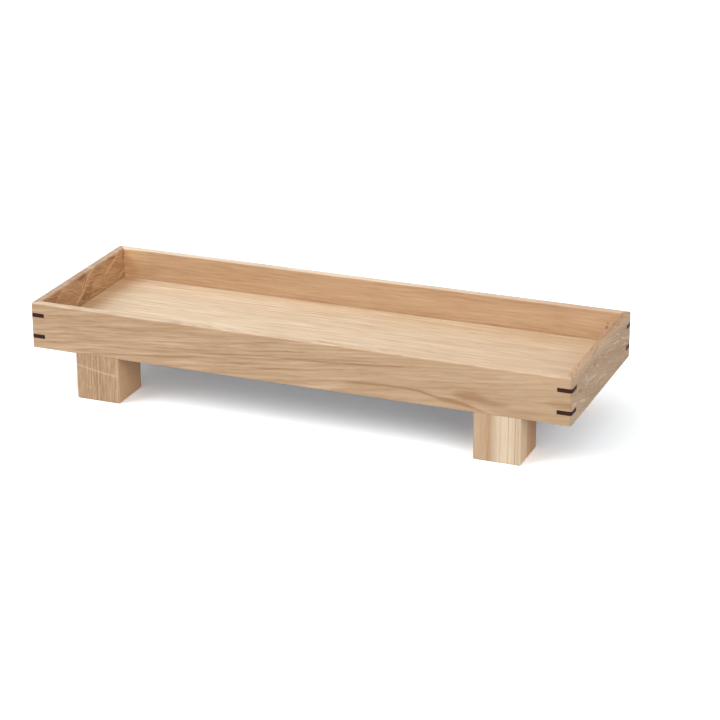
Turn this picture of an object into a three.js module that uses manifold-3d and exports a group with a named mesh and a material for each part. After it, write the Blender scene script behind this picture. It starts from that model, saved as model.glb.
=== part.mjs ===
// A footed oak tray: four mitred rails keyed at the corners with dark splines, a veneered
// board held by a tongue in the rails' grooves, and four block legs dowelled under it.
// Millimetres, +Z up, X along the tray, the front at -Y, the origin on the ground under
// the middle of the tray.

import * as THREE from 'three';
import { mergeVertices } from 'three/addons/utils/BufferGeometryUtils.js';
import Module from 'manifold-3d';

const wasm = await Module();
wasm.setup();

// Rails
const TRAY_LENGTH = 360;
const TRAY_WIDTH = 124;
const RAIL_HEIGHT = 30;
const RAIL_THICKNESS = 5.5;
const RAIL_EDGE_ROUND = 0.8;
const TRAY_CORNER_ROUND = 1;

// Corner splines: how far their middles lie from the rails' edges, and the wood that is
// left between the bottom of their kerf and the inside corner of the tray
const SPLINE_THICKNESS = 2.5;
const SPLINE_INSET = 7.9;
const KERF_BACKING = 1.3;

// Base board
const BOARD_THICKNESS = 10;
const VENEER_THICKNESS = 0.6;
const TONGUE_THICKNESS = 4;
const GROOVE_DEPTH = 2.5;

// Legs
const LEG_LENGTH = 30;
const LEG_DEPTH = 31;
const LEG_HEIGHT = 30.5;
const LEG_SETBACK = 31;
const LEG_EDGE_ROUND = 0.8;

// Dowels between the legs and the board, and the wood left above their holes
const DOWEL_DIAMETER = 6;
const DOWEL_LENGTH = 16;
const DOWEL_CHAMFER = 0.8;
const DOWEL_SPACING = 14;
const DOWEL_COVER = 2;

// Clearances
const GLUE_LINE = 0.1;
const BOARD_PLAY = 0.25;
const TONGUE_PLAY = 0.3;
const DOWEL_END_PLAY = 1;

// Facets of the rounded edges and the dowels, and how far a cutter runs past what it cuts
const ROUND_SEGMENTS = 3;
const DOWEL_SIDES = 20;
const CUT_MARGIN = 2;

// Worked out from the sizes above
const innerLength = TRAY_LENGTH - 2 * RAIL_THICKNESS;
const innerWidth = TRAY_WIDTH - 2 * RAIL_THICKNESS;
const splineReach = 2 * RAIL_THICKNESS - KERF_BACKING * Math.SQRT2;
const kerfReach = splineReach + GLUE_LINE * Math.SQRT2;
const kerfThickness = SPLINE_THICKNESS + 2 * GLUE_LINE;
const splineHeights = { lower: SPLINE_INSET, upper: RAIL_HEIGHT - SPLINE_INSET };
const coreThickness = BOARD_THICKNESS - 2 * VENEER_THICKNESS;
const boardLength = innerLength - 2 * BOARD_PLAY;
const boardWidth = innerWidth - 2 * BOARD_PLAY;
const tongueReach = GROOVE_DEPTH - TONGUE_PLAY;
const grooveHeight = TONGUE_THICKNESS + 2 * GLUE_LINE;
const grooveBottom = (BOARD_THICKNESS - grooveHeight) / 2;
const holeRadius = DOWEL_DIAMETER / 2 + GLUE_LINE;
const boardHoleDepth = BOARD_THICKNESS - DOWEL_COVER;
const dowelInBoard = boardHoleDepth - DOWEL_END_PLAY;
const legHoleDepth = DOWEL_LENGTH - dowelInBoard + DOWEL_END_PLAY;
const dowelFromFace = (RAIL_THICKNESS + LEG_DEPTH) / 2;
const legMiddle = TRAY_LENGTH / 2 - LEG_SETBACK - LEG_LENGTH / 2;

// Finishes
const oakRail = { color: 0xc3a280, roughness: 0.6, metalness: 0 };
const oakEndRail = { color: 0xb29b82, roughness: 0.6, metalness: 0 };
const oakLeg = { color: 0xcdb08c, roughness: 0.6, metalness: 0 };
const oakVeneer = { color: 0xe0c5a4, roughness: 0.55, metalness: 0 };
const boardCore = { color: 0xb9976c, roughness: 0.8, metalness: 0 };
const darkSpline = { color: 0x412a2a, roughness: 0.5, metalness: 0 };
const beechDowel = { color: 0xd8b58c, roughness: 0.7, metalness: 0 };

// The tray's corners by name, each with the turn that points its +X and +Y into the tray
const corners = [
  { name: 'front_left', x: -TRAY_LENGTH / 2, y: -TRAY_WIDTH / 2, turn: 0 },
  { name: 'front_right', x: TRAY_LENGTH / 2, y: -TRAY_WIDTH / 2, turn: Math.PI / 2 },
  { name: 'back_right', x: TRAY_LENGTH / 2, y: TRAY_WIDTH / 2, turn: Math.PI },
  { name: 'back_left', x: -TRAY_LENGTH / 2, y: TRAY_WIDTH / 2, turn: -Math.PI / 2 },
];

// Turns a closed geometry into a solid that can be joined and cut
function solid(geometry) {
  const bare = geometry.clone();
  bare.deleteAttribute('normal');
  bare.deleteAttribute('uv');
  const merged = mergeVertices(bare);
  const vertProperties = new Float32Array(merged.attributes.position.array);
  const triVerts = new Uint32Array(merged.index.array);
  return new wasm.Manifold(new wasm.Mesh({ numProp: 3, vertProperties, triVerts }));
}

// Turns a solid back into a geometry with flat faces
function faceted(body) {
  const mesh = body.getMesh();
  const geometry = new THREE.BufferGeometry();
  geometry.setAttribute('position', new THREE.BufferAttribute(new Float32Array(mesh.vertProperties), 3));
  geometry.setIndex(new THREE.BufferAttribute(new Uint32Array(mesh.triVerts), 1));
  const flat = geometry.toNonIndexed();
  flat.computeVertexNormals();
  return flat;
}

// Lays a plate that was drawn in X and Y so that it is drawn in Y and Z and runs along X, or so
// that it is drawn in Z and X and runs along Y
const ALONG_X = new THREE.Matrix4().set(0, 0, 1, 0, 1, 0, 0, 0, 0, 1, 0, 0, 0, 0, 0, 1);
const ALONG_Y = ALONG_X.clone().transpose();

// A flat outline given a thickness, standing on z = bottom
function plate(shape, thickness, bottom) {
  const geometry = new THREE.ExtrudeGeometry(shape, {
    depth: thickness,
    bevelEnabled: false,
    curveSegments: ROUND_SEGMENTS,
  });
  return geometry.translate(0, 0, bottom);
}

// A rectangle with round corners, its middle at the origin
function roundedRectangle(length, width, radius) {
  const x = length / 2 - radius;
  const y = width / 2 - radius;
  const shape = new THREE.Shape();
  shape.absarc(x, y, radius, 0, Math.PI / 2);
  shape.absarc(-x, y, radius, Math.PI / 2, Math.PI);
  shape.absarc(-x, -y, radius, Math.PI, 1.5 * Math.PI);
  shape.absarc(x, -y, radius, 1.5 * Math.PI, 2 * Math.PI);
  shape.closePath();
  return shape;
}

// A triangle across a tray corner that lies at the origin, with the tray towards +X and +Y,
// run out past the two outer faces by the margin
function cornerTriangle(reach, margin) {
  return new THREE.Shape([
    new THREE.Vector2(-margin, -margin),
    new THREE.Vector2(reach + margin, -margin),
    new THREE.Vector2(-margin, reach + margin),
  ]);
}

// The outside of the tray seen from above, as a block with its front left corner at the origin
function trayOutline(length, width, height) {
  const outline = roundedRectangle(length, width, TRAY_CORNER_ROUND);
  return plate(outline, height, 0).translate(length / 2, width / 2, 0);
}

// A rail's cross section: x runs from its outer face to its inner face, y from its lower edge up
function railSection() {
  const r = RAIL_EDGE_ROUND;
  const inside = RAIL_THICKNESS;
  const grooveFloor = RAIL_THICKNESS - GROOVE_DEPTH;
  const grooveTop = grooveBottom + grooveHeight;
  const shape = new THREE.Shape();
  shape.moveTo(r, 0);
  shape.lineTo(inside, 0);
  shape.lineTo(inside, grooveBottom);
  shape.lineTo(grooveFloor, grooveBottom);
  shape.lineTo(grooveFloor, grooveTop);
  shape.lineTo(inside, grooveTop);
  shape.absarc(inside - r, RAIL_HEIGHT - r, r, 0, Math.PI / 2);
  shape.absarc(r, RAIL_HEIGHT - r, r, Math.PI / 2, Math.PI);
  shape.absarc(r, r, r, Math.PI, 1.5 * Math.PI);
  return shape;
}

// A rail with its mitres, groove and kerfs: it runs along X, its outer face is at y = 0 and its
// lower edge at z = 0
function railGeometry(railLength, trayDepth) {
  const half = railLength / 2;
  const moulding = plate(railSection(), railLength, -half).applyMatrix4(ALONG_X);

  const mitreSetback = GLUE_LINE / Math.SQRT2;
  const wide = half - mitreSetback + CUT_MARGIN;
  const narrow = half - mitreSetback - RAIL_THICKNESS - CUT_MARGIN;
  const mitres = new THREE.Shape([
    new THREE.Vector2(-wide, -CUT_MARGIN),
    new THREE.Vector2(wide, -CUT_MARGIN),
    new THREE.Vector2(narrow, RAIL_THICKNESS + CUT_MARGIN),
    new THREE.Vector2(-narrow, RAIL_THICKNESS + CUT_MARGIN),
  ]);
  const mitreBlock = plate(mitres, RAIL_HEIGHT + 2 * CUT_MARGIN, -CUT_MARGIN);
  const outline = trayOutline(railLength, trayDepth, RAIL_HEIGHT).translate(-half, 0, 0);

  let rail = solid(moulding).intersect(solid(mitreBlock)).intersect(solid(outline));
  for (const height of Object.values(splineHeights)) {
    const kerf = plate(cornerTriangle(kerfReach, CUT_MARGIN), kerfThickness, height - kerfThickness / 2);
    rail = rail.subtract(solid(kerf.clone().translate(-half, 0, 0)));
    rail = rail.subtract(solid(kerf.clone().rotateZ(Math.PI / 2).translate(half, 0, 0)));
  }
  return faceted(rail);
}

// A spline for a tray corner at the origin, its middle at z = 0
function splineGeometry() {
  const key = plate(cornerTriangle(splineReach, 0), SPLINE_THICKNESS, 0);
  const outline = trayOutline(TRAY_LENGTH, TRAY_WIDTH, SPLINE_THICKNESS);
  const spline = solid(key).intersect(solid(outline));
  return faceted(spline).translate(0, 0, -SPLINE_THICKNESS / 2);
}

// The cutter of a dowel hole, standing on z = bottom
function dowelHole(height, bottom) {
  const cutter = new THREE.CylinderGeometry(holeRadius, holeRadius, height, DOWEL_SIDES);
  return cutter.rotateX(Math.PI / 2).translate(0, 0, bottom + height / 2);
}

// A leg: its outer face is at y = 0, it reaches towards +Y under the tray and stands on z = 0
function legGeometry() {
  const above = plate(roundedRectangle(LEG_LENGTH, LEG_DEPTH, LEG_EDGE_ROUND), LEG_HEIGHT, -LEG_HEIGHT / 2);
  const end = plate(roundedRectangle(LEG_DEPTH, LEG_HEIGHT, LEG_EDGE_ROUND), LEG_LENGTH, -LEG_LENGTH / 2);
  const front = plate(roundedRectangle(LEG_HEIGHT, LEG_LENGTH, LEG_EDGE_ROUND), LEG_DEPTH, -LEG_DEPTH / 2);
  const rounded = solid(above)
    .intersect(solid(end.applyMatrix4(ALONG_X)))
    .intersect(solid(front.applyMatrix4(ALONG_Y)));
  let leg = rounded.translate([0, LEG_DEPTH / 2, LEG_HEIGHT / 2]);
  const hole = dowelHole(legHoleDepth + CUT_MARGIN, LEG_HEIGHT - legHoleDepth);
  for (const x of [-DOWEL_SPACING / 2, DOWEL_SPACING / 2]) {
    leg = leg.subtract(solid(hole.clone().translate(x, dowelFromFace, 0)));
  }
  return faceted(leg);
}

// A dowel with chamfered ends, standing on z = 0
function dowelGeometry() {
  const radius = DOWEL_DIAMETER / 2;
  const profile = [
    new THREE.Vector2(0, 0),
    new THREE.Vector2(radius - DOWEL_CHAMFER, 0),
    new THREE.Vector2(radius, DOWEL_CHAMFER),
    new THREE.Vector2(radius, DOWEL_LENGTH - DOWEL_CHAMFER),
    new THREE.Vector2(radius - DOWEL_CHAMFER, DOWEL_LENGTH),
    new THREE.Vector2(0, DOWEL_LENGTH),
  ];
  return faceted(solid(new THREE.LatheGeometry(profile, DOWEL_SIDES).rotateX(Math.PI / 2)));
}

// The four legs by name: their place along X, the long side they stand under and their end
const legs = [];
for (const [sideName, side] of [['front', -1], ['back', 1]]) {
  for (const [endName, end] of [['left', -1], ['right', 1]]) {
    legs.push({ name: `${sideName}_${endName}`, x: end * legMiddle, side, end });
  }
}

// The two dowels of each leg, the outer one nearer to the tray's end
const dowels = [];
for (const leg of legs) {
  for (const [spot, outward] of [['outer', 1], ['inner', -1]]) {
    dowels.push({
      name: `dowel_${leg.name}_${spot}`,
      x: leg.x + leg.end * outward * DOWEL_SPACING / 2,
      y: leg.side * (TRAY_WIDTH / 2 - dowelFromFace),
    });
  }
}

// Bores the dowel holes into a part of the board, whose underside lies at z = 0
function withDowelHoles(body) {
  let bored = body;
  const hole = dowelHole(boardHoleDepth + CUT_MARGIN, -CUT_MARGIN);
  for (const dowel of dowels) {
    bored = bored.subtract(solid(hole.clone().translate(dowel.x, dowel.y, 0)));
  }
  return bored;
}

// The board's core with its tongue, cut back at the corners to clear the kerfs
function coreGeometry() {
  const body = new THREE.BoxGeometry(boardLength, boardWidth, coreThickness);
  const tongueLength = innerLength + 2 * tongueReach;
  const tongueWidth = innerWidth + 2 * tongueReach;
  let tongue = solid(new THREE.BoxGeometry(tongueLength, tongueWidth, TONGUE_THICKNESS));
  const clipReach = kerfReach + TONGUE_PLAY * Math.SQRT2;
  const clip = plate(cornerTriangle(clipReach, CUT_MARGIN), BOARD_THICKNESS, -BOARD_THICKNESS / 2);
  for (const corner of corners) {
    tongue = tongue.subtract(solid(clip.clone().rotateZ(corner.turn).translate(corner.x, corner.y, 0)));
  }
  const board = solid(body).add(tongue).translate([0, 0, BOARD_THICKNESS / 2]);
  return faceted(withDowelHoles(board));
}

// A face veneer of the board, standing on z = bottom
function veneerGeometry(bottom) {
  const sheet = new THREE.BoxGeometry(boardLength, boardWidth, VENEER_THICKNESS);
  return sheet.translate(0, 0, bottom + VENEER_THICKNESS / 2);
}

const tray = new THREE.Group();

// Adds a piece to the tray, turned about the upright axis
function place(name, geometry, finish, x, y, z, turn = 0) {
  const mesh = new THREE.Mesh(geometry, new THREE.MeshStandardMaterial(finish));
  mesh.name = name;
  mesh.position.set(x, y, z);
  mesh.rotation.z = turn;
  tray.add(mesh);
}

// Rails
const longRail = railGeometry(TRAY_LENGTH, TRAY_WIDTH);
const endRail = railGeometry(TRAY_WIDTH, TRAY_LENGTH);
place('front_rail', longRail, oakRail, 0, -TRAY_WIDTH / 2, LEG_HEIGHT);
place('back_rail', longRail, oakRail, 0, TRAY_WIDTH / 2, LEG_HEIGHT, Math.PI);
place('left_end_rail', endRail, oakEndRail, -TRAY_LENGTH / 2, 0, LEG_HEIGHT, -Math.PI / 2);
place('right_end_rail', endRail, oakEndRail, TRAY_LENGTH / 2, 0, LEG_HEIGHT, Math.PI / 2);

// Splines
const spline = splineGeometry();
for (const corner of corners) {
  for (const [level, height] of Object.entries(splineHeights)) {
    const name = `spline_${corner.name}_${level}`;
    place(name, spline, darkSpline, corner.x, corner.y, LEG_HEIGHT + height, corner.turn);
  }
}

// Base board
const bottomVeneer = faceted(withDowelHoles(solid(veneerGeometry(0))));
place('base_core', coreGeometry(), boardCore, 0, 0, LEG_HEIGHT);
place('base_top_veneer', veneerGeometry(BOARD_THICKNESS - VENEER_THICKNESS), oakVeneer, 0, 0, LEG_HEIGHT);
place('base_bottom_veneer', bottomVeneer, oakVeneer, 0, 0, LEG_HEIGHT);

// Legs
const block = legGeometry();
for (const leg of legs) {
  const turn = leg.side < 0 ? 0 : Math.PI;
  place(`leg_${leg.name}`, block, oakLeg, leg.x, leg.side * TRAY_WIDTH / 2, 0, turn);
}

// Dowels
const dowelPeg = dowelGeometry();
for (const dowel of dowels) {
  place(dowel.name, dowelPeg, beechDowel, dowel.x, dowel.y, LEG_HEIGHT + dowelInBoard - DOWEL_LENGTH);
}

export default tray;
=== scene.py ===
"""A footed oak tray: mitred rails keyed with dark splines, a veneered board and four block legs.

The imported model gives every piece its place. The rails, splines, veneers and legs are modelled again
here with eased edges, and every piece gets wood that is made of nodes.
"""

import math
from dataclasses import dataclass, replace

import bmesh
import bpy
from bpy.props import FloatProperty, FloatVectorProperty, PointerProperty
from mathutils import Matrix, Quaternion, Vector


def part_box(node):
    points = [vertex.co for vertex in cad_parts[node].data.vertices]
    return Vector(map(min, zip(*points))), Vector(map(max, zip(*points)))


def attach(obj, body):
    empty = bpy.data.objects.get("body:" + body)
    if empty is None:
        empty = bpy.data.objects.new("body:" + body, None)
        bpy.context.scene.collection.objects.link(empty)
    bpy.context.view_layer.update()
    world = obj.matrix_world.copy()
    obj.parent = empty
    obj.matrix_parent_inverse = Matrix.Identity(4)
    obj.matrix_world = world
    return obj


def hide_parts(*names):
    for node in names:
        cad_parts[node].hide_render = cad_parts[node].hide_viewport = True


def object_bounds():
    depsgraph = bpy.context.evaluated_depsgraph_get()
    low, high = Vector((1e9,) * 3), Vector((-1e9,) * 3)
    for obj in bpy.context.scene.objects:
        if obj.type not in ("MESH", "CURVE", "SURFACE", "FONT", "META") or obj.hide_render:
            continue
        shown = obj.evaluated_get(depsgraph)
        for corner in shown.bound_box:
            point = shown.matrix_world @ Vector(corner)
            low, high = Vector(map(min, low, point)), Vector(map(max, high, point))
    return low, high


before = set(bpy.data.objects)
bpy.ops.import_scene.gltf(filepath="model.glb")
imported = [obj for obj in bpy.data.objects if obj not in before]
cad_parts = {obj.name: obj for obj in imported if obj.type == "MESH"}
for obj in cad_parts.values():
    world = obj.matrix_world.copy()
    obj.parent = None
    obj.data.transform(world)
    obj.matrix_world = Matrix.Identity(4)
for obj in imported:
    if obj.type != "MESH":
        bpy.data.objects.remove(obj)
CAD_LOW, CAD_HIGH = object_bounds()

bl_info = {
    "name": "Footed oak tray",
    "version": (1, 0, 0),
    "blender": (4, 5, 0),
    "location": "View3D > Sidebar > Tray",
    "description": "Builds an oak tray with keyed mitres and block legs around its packed frame",
    "category": "Object",
}

MM = 0.001

# Facets of the eased edges, the veneers' edges, the spline tips and the dowel holes, and the turns in
# degrees of the facets that round the tray's corners
EASE_SEGMENTS = 4
ARRIS_SEGMENTS = 2
TIP_SEGMENTS = 6
HOLE_SIDES = 32
CORNER_ANGLES = (15.0, 30.0, 45.0)

# How far a cutter runs past what it cuts, and how close two points count as one
CUT_MARGIN = 2 * MM
MERGE_DISTANCE = 1e-7

# The angle up to which shading runs on over an edge, and how much the flat faces count in it
SMOOTH_ANGLE = math.radians(28)
FLAT_FACE_WEIGHT = 100

RAIL_LOW, RAIL_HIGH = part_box("front_rail")
RAIL_MIDDLE = (RAIL_LOW.z + RAIL_HIGH.z) / 2
HALF_LENGTH = CAD_HIGH.x
HALF_WIDTH = CAD_HIGH.y
CORNERS = {
    "front_left": (-1, -1),
    "front_right": (1, -1),
    "back_left": (-1, 1),
    "back_right": (1, 1),
}
DOWELS = [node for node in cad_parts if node.startswith("dowel_")]

# Each rail's node, its run, its turn, where the middle of its outer face lies and its slot
RAIL_PLAN = (
    ("front_rail", 2 * HALF_LENGTH, 0, (0, -HALF_WIDTH), "oak_rail"),
    ("back_rail", 2 * HALF_LENGTH, math.pi, (0, HALF_WIDTH), "oak_rail"),
    ("left_end_rail", 2 * HALF_WIDTH, -math.pi / 2, (-HALF_LENGTH, 0), "oak_end_rail"),
    ("right_end_rail", 2 * HALF_WIDTH, math.pi / 2, (HALF_LENGTH, 0), "oak_end_rail"),
)


def length(name, description, default):
    """A property that holds a length."""
    return FloatProperty(
        name=name, description=description, default=default, min=0.0, unit="LENGTH", precision=4
    )


def colour(name, description, default):
    """A property that holds a colour."""
    return FloatVectorProperty(
        name=name, description=description, default=default, min=0.0, max=1.0, size=3, subtype="COLOR"
    )


def position(name, description, default):
    """A property that holds a point."""
    return FloatVectorProperty(
        name=name, description=description, default=default, size=3, subtype="XYZ", unit="LENGTH"
    )


def amount(name, description, default, **more):
    """A property that holds a number."""
    return FloatProperty(name=name, description=description, default=default, **more)


class TraySizes(bpy.types.PropertyGroup):
    """Sizes of the tray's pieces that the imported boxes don't give."""

    rail_thickness: length("Rail thickness", "Wood between a rail's two faces", RAIL_HIGH.y - RAIL_LOW.y)
    edge_round: length("Edge round", "Radius of the rails' eased upper edges", 0.8 * MM)
    foot_round: length("Foot round", "Radius of the rails' eased lower edge", 0.3 * MM)
    corner_round: length("Corner round", "Radius of the tray's four upright corners", 1.7 * MM)
    groove_depth: length("Groove depth", "Depth of the groove that holds the board", 2.5 * MM)
    groove_height: length("Groove height", "Height of the groove that holds the board", 4.2 * MM)
    groove_lift: length("Groove lift", "Wood between the groove and the rail's lower edge", 2.9 * MM)
    glue_line: length("Glue line", "Gap left for glue between two pieces", 0.1 * MM)
    leg_round: length("Leg round", "Radius of the legs' eased edges", 0.8 * MM)
    veneer_arris: length("Veneer arris", "Radius of the veneers' edges", 0.12 * MM)
    dowel_play: length("Dowel play", "Room below a dowel in its leg", 1.0 * MM)


class TrayColours(bpy.types.PropertyGroup):
    """Middle colours of the tray's woods."""

    front_rail: colour("Front rail", "Flat-sawn oak of the front rail", (0.68, 0.45, 0.266))
    back_rail: colour("Back rail", "Flat-sawn oak of the back rail", (0.569, 0.374, 0.221))
    left_end: colour("Left end", "Quarter-sawn oak of the left end rail", (0.505, 0.285, 0.139))
    right_end: colour("Right end", "Quarter-sawn oak of the right end rail", (0.675, 0.46, 0.291))
    veneer: colour("Veneer", "Straight-grained oak veneer of the board", (0.785, 0.60, 0.41))
    brown_leg: colour("Brown leg", "Oak of the legs with the brown, flecked face", (0.623, 0.397, 0.231))
    pale_leg: colour("Pale leg", "Oak of the legs with the pale, striped face", (0.857, 0.608, 0.402))
    rim: colour("Rim", "Sanded upper edge of the front rail", (0.78, 0.62, 0.45))
    back_rim: colour("Back rim", "Sanded upper edge of the back rail", (0.88, 0.71, 0.54))
    left_rim: colour("Left rim", "Upper edge of the left end rail", (0.565, 0.37, 0.235))
    right_rim: colour("Right rim", "Upper edge of the right end rail", (0.425, 0.233, 0.11))
    # The legs' right sides: paler copies of the legs' oak, painted light where those sides lie in shade
    lit_pale_side: colour("Pale side", "Right side of the pale legs", (0.97, 0.626, 0.39))
    lit_leg_side: colour("Leg side", "Plain right side of the brown legs", (0.93, 0.57, 0.325))
    spline: colour("Spline", "Dark wood of the corner splines", (0.056, 0.021, 0.015))
    core: colour("Core", "Core of the board", (0.48, 0.31, 0.15))
    dowel: colour("Dowel", "Beech of the dowels", (0.69, 0.46, 0.26))


class TrayStage(bpy.types.PropertyGroup):
    """Where the camera stands and how the tray is lit."""

    eye: position("Eye", "Where the camera stands", (0.555464, -1.320033, 0.582958))
    target: position("Target", "The point that the camera looks at", (0.018845, 0.0053, 0.025279))
    lens: amount("Lens", "Focal length in millimetres on a 36 mm sensor", 120.49, min=1.0, unit="CAMERA")
    roll: amount("Roll", "Turn of the camera about its view", math.radians(-0.234), subtype="ANGLE")
    floor: colour("Floor", "Pale floor that the tray stands on", (0.34, 0.355, 0.38))
    floor_size: length("Floor size", "Side of the floor", 14.0)
    floor_gain: amount("Floor gain", "How much lighter the camera sees the white floor", 1.7, min=0.0)
    floor_glow: amount(
        "Floor glow",
        "Share of the white floor that needs no light",
        0.08,
        min=0.0,
        max=1.0,
        subtype="FACTOR",
    )
    sky: amount("Sky", "Strength of the soft light from straight above", 0.6, min=0.0)
    walls: amount("Walls", "Strength of the soft light from the pale walls", 0.66, min=0.0)
    key: amount("Key", "Strength of the soft key lamp", 1.45, min=0.0)
    fill: amount("Fill", "Strength of the low fill lamp", 0.75, min=0.0)


# Sockets of a Mix node for its two colours and for the mixed one
FIRST_COLOUR = 6
SECOND_COLOUR = 7
MIXED_COLOUR = 2


class Wire:
    """A socket of a node tree. Sums on it add Math nodes, so that a pattern reads as a formula."""

    def __init__(self, tree, socket=None):
        self.tree = tree
        self.socket = socket

    def node(self, kind, settings=None, inputs=None, output=0):
        """Adds a node, with its settings first and then the values or links of its sockets."""
        made = self.tree.nodes.new("ShaderNode" + kind)
        for setting, value in (settings or {}).items():
            setattr(made, setting, value)
        for place, value in (inputs or {}).items():
            if isinstance(value, Wire):
                self.tree.links.new(value.socket, made.inputs[place])
            else:
                made.inputs[place].default_value = value
        return Wire(self.tree, made.outputs[output] if made.outputs else None)

    def math(self, operation, *values):
        """A Math node on one, two or three values."""
        return self.node("Math", {"operation": operation}, dict(enumerate(values)))

    def __add__(self, other):
        return self.math("ADD", self, other)

    __radd__ = __add__

    def __sub__(self, other):
        return self.math("SUBTRACT", self, other)

    def __rsub__(self, other):
        return self.math("SUBTRACT", other, self)

    def __mul__(self, other):
        return self.math("MULTIPLY", self, other)

    __rmul__ = __mul__

    def __truediv__(self, other):
        return self.math("DIVIDE", self, other)

    def __pow__(self, other):
        return self.math("POWER", self, other)

    def __abs__(self):
        return self.math("ABSOLUTE", self)

    def ramp(self, low, high, way="LINEAR"):
        """Runs from 0 at low to 1 at high, straight or in another way, and stays there."""
        inputs = dict(enumerate((self, low, high, 0.0, 1.0)))
        return self.node("MapRange", {"interpolation_type": way}, inputs)

    def ease(self, low, high):
        """Runs smoothly from 0 at low to 1 at high, and stays there."""
        return self.ramp(low, high, "SMOOTHSTEP")

    def bump(self, middle, half_width):
        """1 at the middle, falling smoothly to 0 at half a width to both sides."""
        return 1 - abs(self - middle).ease(0.0, half_width)

    def over(self, least, more):
        """The least value at 0, and so much more at 1."""
        return least + self * more

    def tinted(self, factors):
        """A colour with its red, green and blue scaled."""
        settings = {"data_type": "RGBA", "blend_type": "MULTIPLY"}
        inputs = {0: 1.0, FIRST_COLOUR: self, SECOND_COLOUR: (*factors, 1.0)}
        return self.node("Mix", settings, inputs, MIXED_COLOUR)

    def mix(self, first, second):
        """The first colour at 0 and the second at 1."""
        settings = {"data_type": "RGBA", "clamp_factor": True}
        inputs = {0: self, FIRST_COLOUR: first, SECOND_COLOUR: second}
        return self.node("Mix", settings, inputs, MIXED_COLOUR)

    def parts(self):
        """The three numbers of a vector."""
        split = self.node("SeparateXYZ", inputs={0: self}).socket.node
        return [Wire(self.tree, out) for out in split.outputs]

    def noise(self, place, sizes, detail=2.0, roughness=0.5):
        """Smooth noise about 0.5, whose spots have these sizes along a place's three directions.

        Where only two sizes are given, the second counts for the third direction too.
        """
        scaled = [part * (1.0 / size) for part, size in zip(place, (*sizes, sizes[-1]))]
        vector = self.node("CombineXYZ", inputs=dict(enumerate(scaled)))
        inputs = {"Vector": vector, "Scale": 1.0, "Detail": detail, "Roughness": roughness}
        return self.node("TexNoise", {"noise_dimensions": "3D"}, inputs)

    def sway(self, place, sizes, detail=2.0, roughness=0.5):
        """The same noise spread from about -1 to 1."""
        return (self.noise(place, sizes, detail, roughness) - 0.5) * 2.0


def new_material(name):
    """An empty material and the wire that builds its nodes."""
    material = bpy.data.materials.new(name)
    material.use_nodes = True
    material.node_tree.nodes.clear()
    return material, Wire(material.node_tree)


def board_axes(wire, axes, middle):
    """Millimetres along the grain, across the face and through the board, from a middle in metres."""
    spot = wire.node("TexCoord", output="Object")
    scale = (1 / MM,) * 3
    shift = tuple(-part / MM for part in middle)
    moved = wire.node("Mapping", inputs={"Vector": spot, "Location": shift, "Scale": scale}).parts()
    return [moved["XYZ".index(axis)] for axis in axes]


def shades(base, factors):
    """A base colour with its red, green and blue scaled, up to white."""
    scaled = [min(part * factor, 1.0) for part, factor in zip(base, factors)]
    return (*scaled, 1.0)


def close_surface(wire, base, roughness, height, shine):
    """Joins colour, roughness and a height in millimetres to the material's output."""
    normal = wire.node("Bump", inputs={"Strength": 1.0, "Distance": MM, "Height": height})
    inputs = {"Base Color": base, "Roughness": roughness, "Specular IOR Level": shine, "Normal": normal}
    surface = wire.node("BsdfPrincipled", inputs=inputs)
    wire.node("OutputMaterial", inputs={"Surface": surface})


# The shine of sanded wood, and the tone halfway between its darkest shade and its palest
SATIN_SHINE = 0.5
MIDDLE_TONE = 0.5

# Shades of oak about its middle colour, of the rays' pale flecks, and of the dark veins and painted edge
# shade on a rim
PALE_WOOD = (1.24, 1.33, 1.43)
DARK_WOOD = (0.74, 0.645, 0.55)
PALE_RAY = (1.20, 1.32, 1.46)
RIM_VEIN_AND_SHADE = (0.50, 0.42, 0.33)

# Sizes in millimetres along the grain and across it of the oak's clouds, fibres and pores, and of the
# stretches in which its year lines show and fade, and how deep a ray goes
CLOUD_SIZE = (80.0, 10.0)
FIBRE_SIZE = (14.0, 0.5)
PORE_SIZE = (5.0, 0.3)
STRETCH_SIZE = (38.0, 3.0)
RAY_DEPTH = 12.0

# Levels of noise between which a pore, a stretch with lines and a ray come out
PORE_LEVELS = (0.60, 0.72)
STRETCH_LEVELS = (0.36, 0.66)
RAY_LEVELS = (0.60, 0.70)

# Where in a year's growth the dark open wood and the pale dense wood lie, and how far each reaches
OPEN_WOOD = (0.3, 0.3)
DENSE_WOOD = (0.72, 0.28)

# The least strength of a year's lines and of its pores, and how much a strong year, a stretch with
# lines and the open wood add to it
YEAR_STRENGTH = (0.25, 0.9)
STRETCH_STRENGTH = (0.15, 1.2)
PORE_STRENGTH = (0.3, 0.7)

# How much a pore darkens the wood, and the dense wood's paleness against the open wood's darkness
PORE_DARKNESS = 0.16
DENSE_PALENESS = 0.6

# How much shorter and narrower the grain's quick wavering is than its slow one
QUICKER = (4, 5)

# How far the named figure follows the grain's wavering, and the share of a vein that fades at each end
BAND_SWAY = 0.3
SPOT_SWAY = 0.5
VEIN_SWAY = 0.4
RIM_VEIN_AND_SHADE_SWAY = 0.2
RAY_SWAY = 3.0
VEIN_FADE = 0.16

# Roughness of sanded oak, and what pores, lines and rays change in a wood's roughness
OAK_ROUGHNESS = 0.5
PORE_ROUGHNESS = 0.15
LINE_ROUGHNESS = 0.08
RAY_GLOSS = 0.1

# Relief of sanded wood in millimetres
FIBRE_HEIGHT = 0.01
PORE_DEPTH = 0.05
LINE_DEPTH = 0.015
RAY_HEIGHT = 0.01

# Where the sanded rim of a rail, or the right side of a leg with its painted light, starts and is
# reached, in millimetres across from the piece's middle
RIM_START = 14.5
RIM_END = 15.0


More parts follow.
